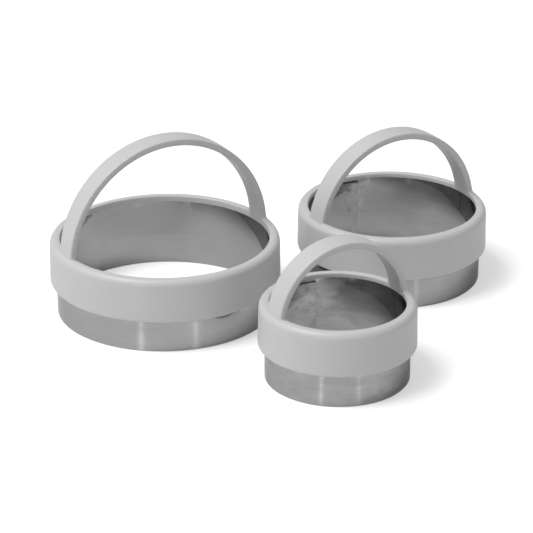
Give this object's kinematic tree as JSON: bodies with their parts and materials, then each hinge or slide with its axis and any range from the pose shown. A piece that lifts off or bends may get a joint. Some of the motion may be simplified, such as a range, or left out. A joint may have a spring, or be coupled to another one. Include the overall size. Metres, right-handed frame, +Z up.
{
  "type": "biscuit cutter",
  "caption": "Round biscuit cutters in graded sizes standing apart, each a lapped steel blade ring pressed into a white plastic collar with an arched handle.",
  "frame": {"origin": "middle of the standing set's bounding box, on the table under the cutting edges", "axes": "+Z up; +X along the set's longest extent, from the large cutter to the medium one; +Y towards the back, away from the small cutter"},
  "size_m": [0.1826, 0.1698, 0.0744],
  "materials": {
    "brushed_steel": "brushed, faintly smudged",
    "white_plastic": "satin"
  },
  "bodies": {
    "large_cutter": {"large_blade_ring": "brushed_steel", "large_handle_collar": "white_plastic"},
    "medium_cutter": {"medium_blade_ring": "brushed_steel", "medium_handle_collar": "white_plastic"},
    "small_cutter": {"small_blade_ring": "brushed_steel", "small_handle_collar": "white_plastic"}
  },
  "joints": [
    {"name": "medium_lift", "type": "slide", "parent": "large_cutter", "child": "medium_cutter", "axis": [0, 0, 1], "range_m": [0, 0.1]},
    {"name": "small_lift", "type": "slide", "parent": "large_cutter", "child": "small_cutter", "axis": [0, 0, 1], "range_m": [0, 0.1]}
  ]
}
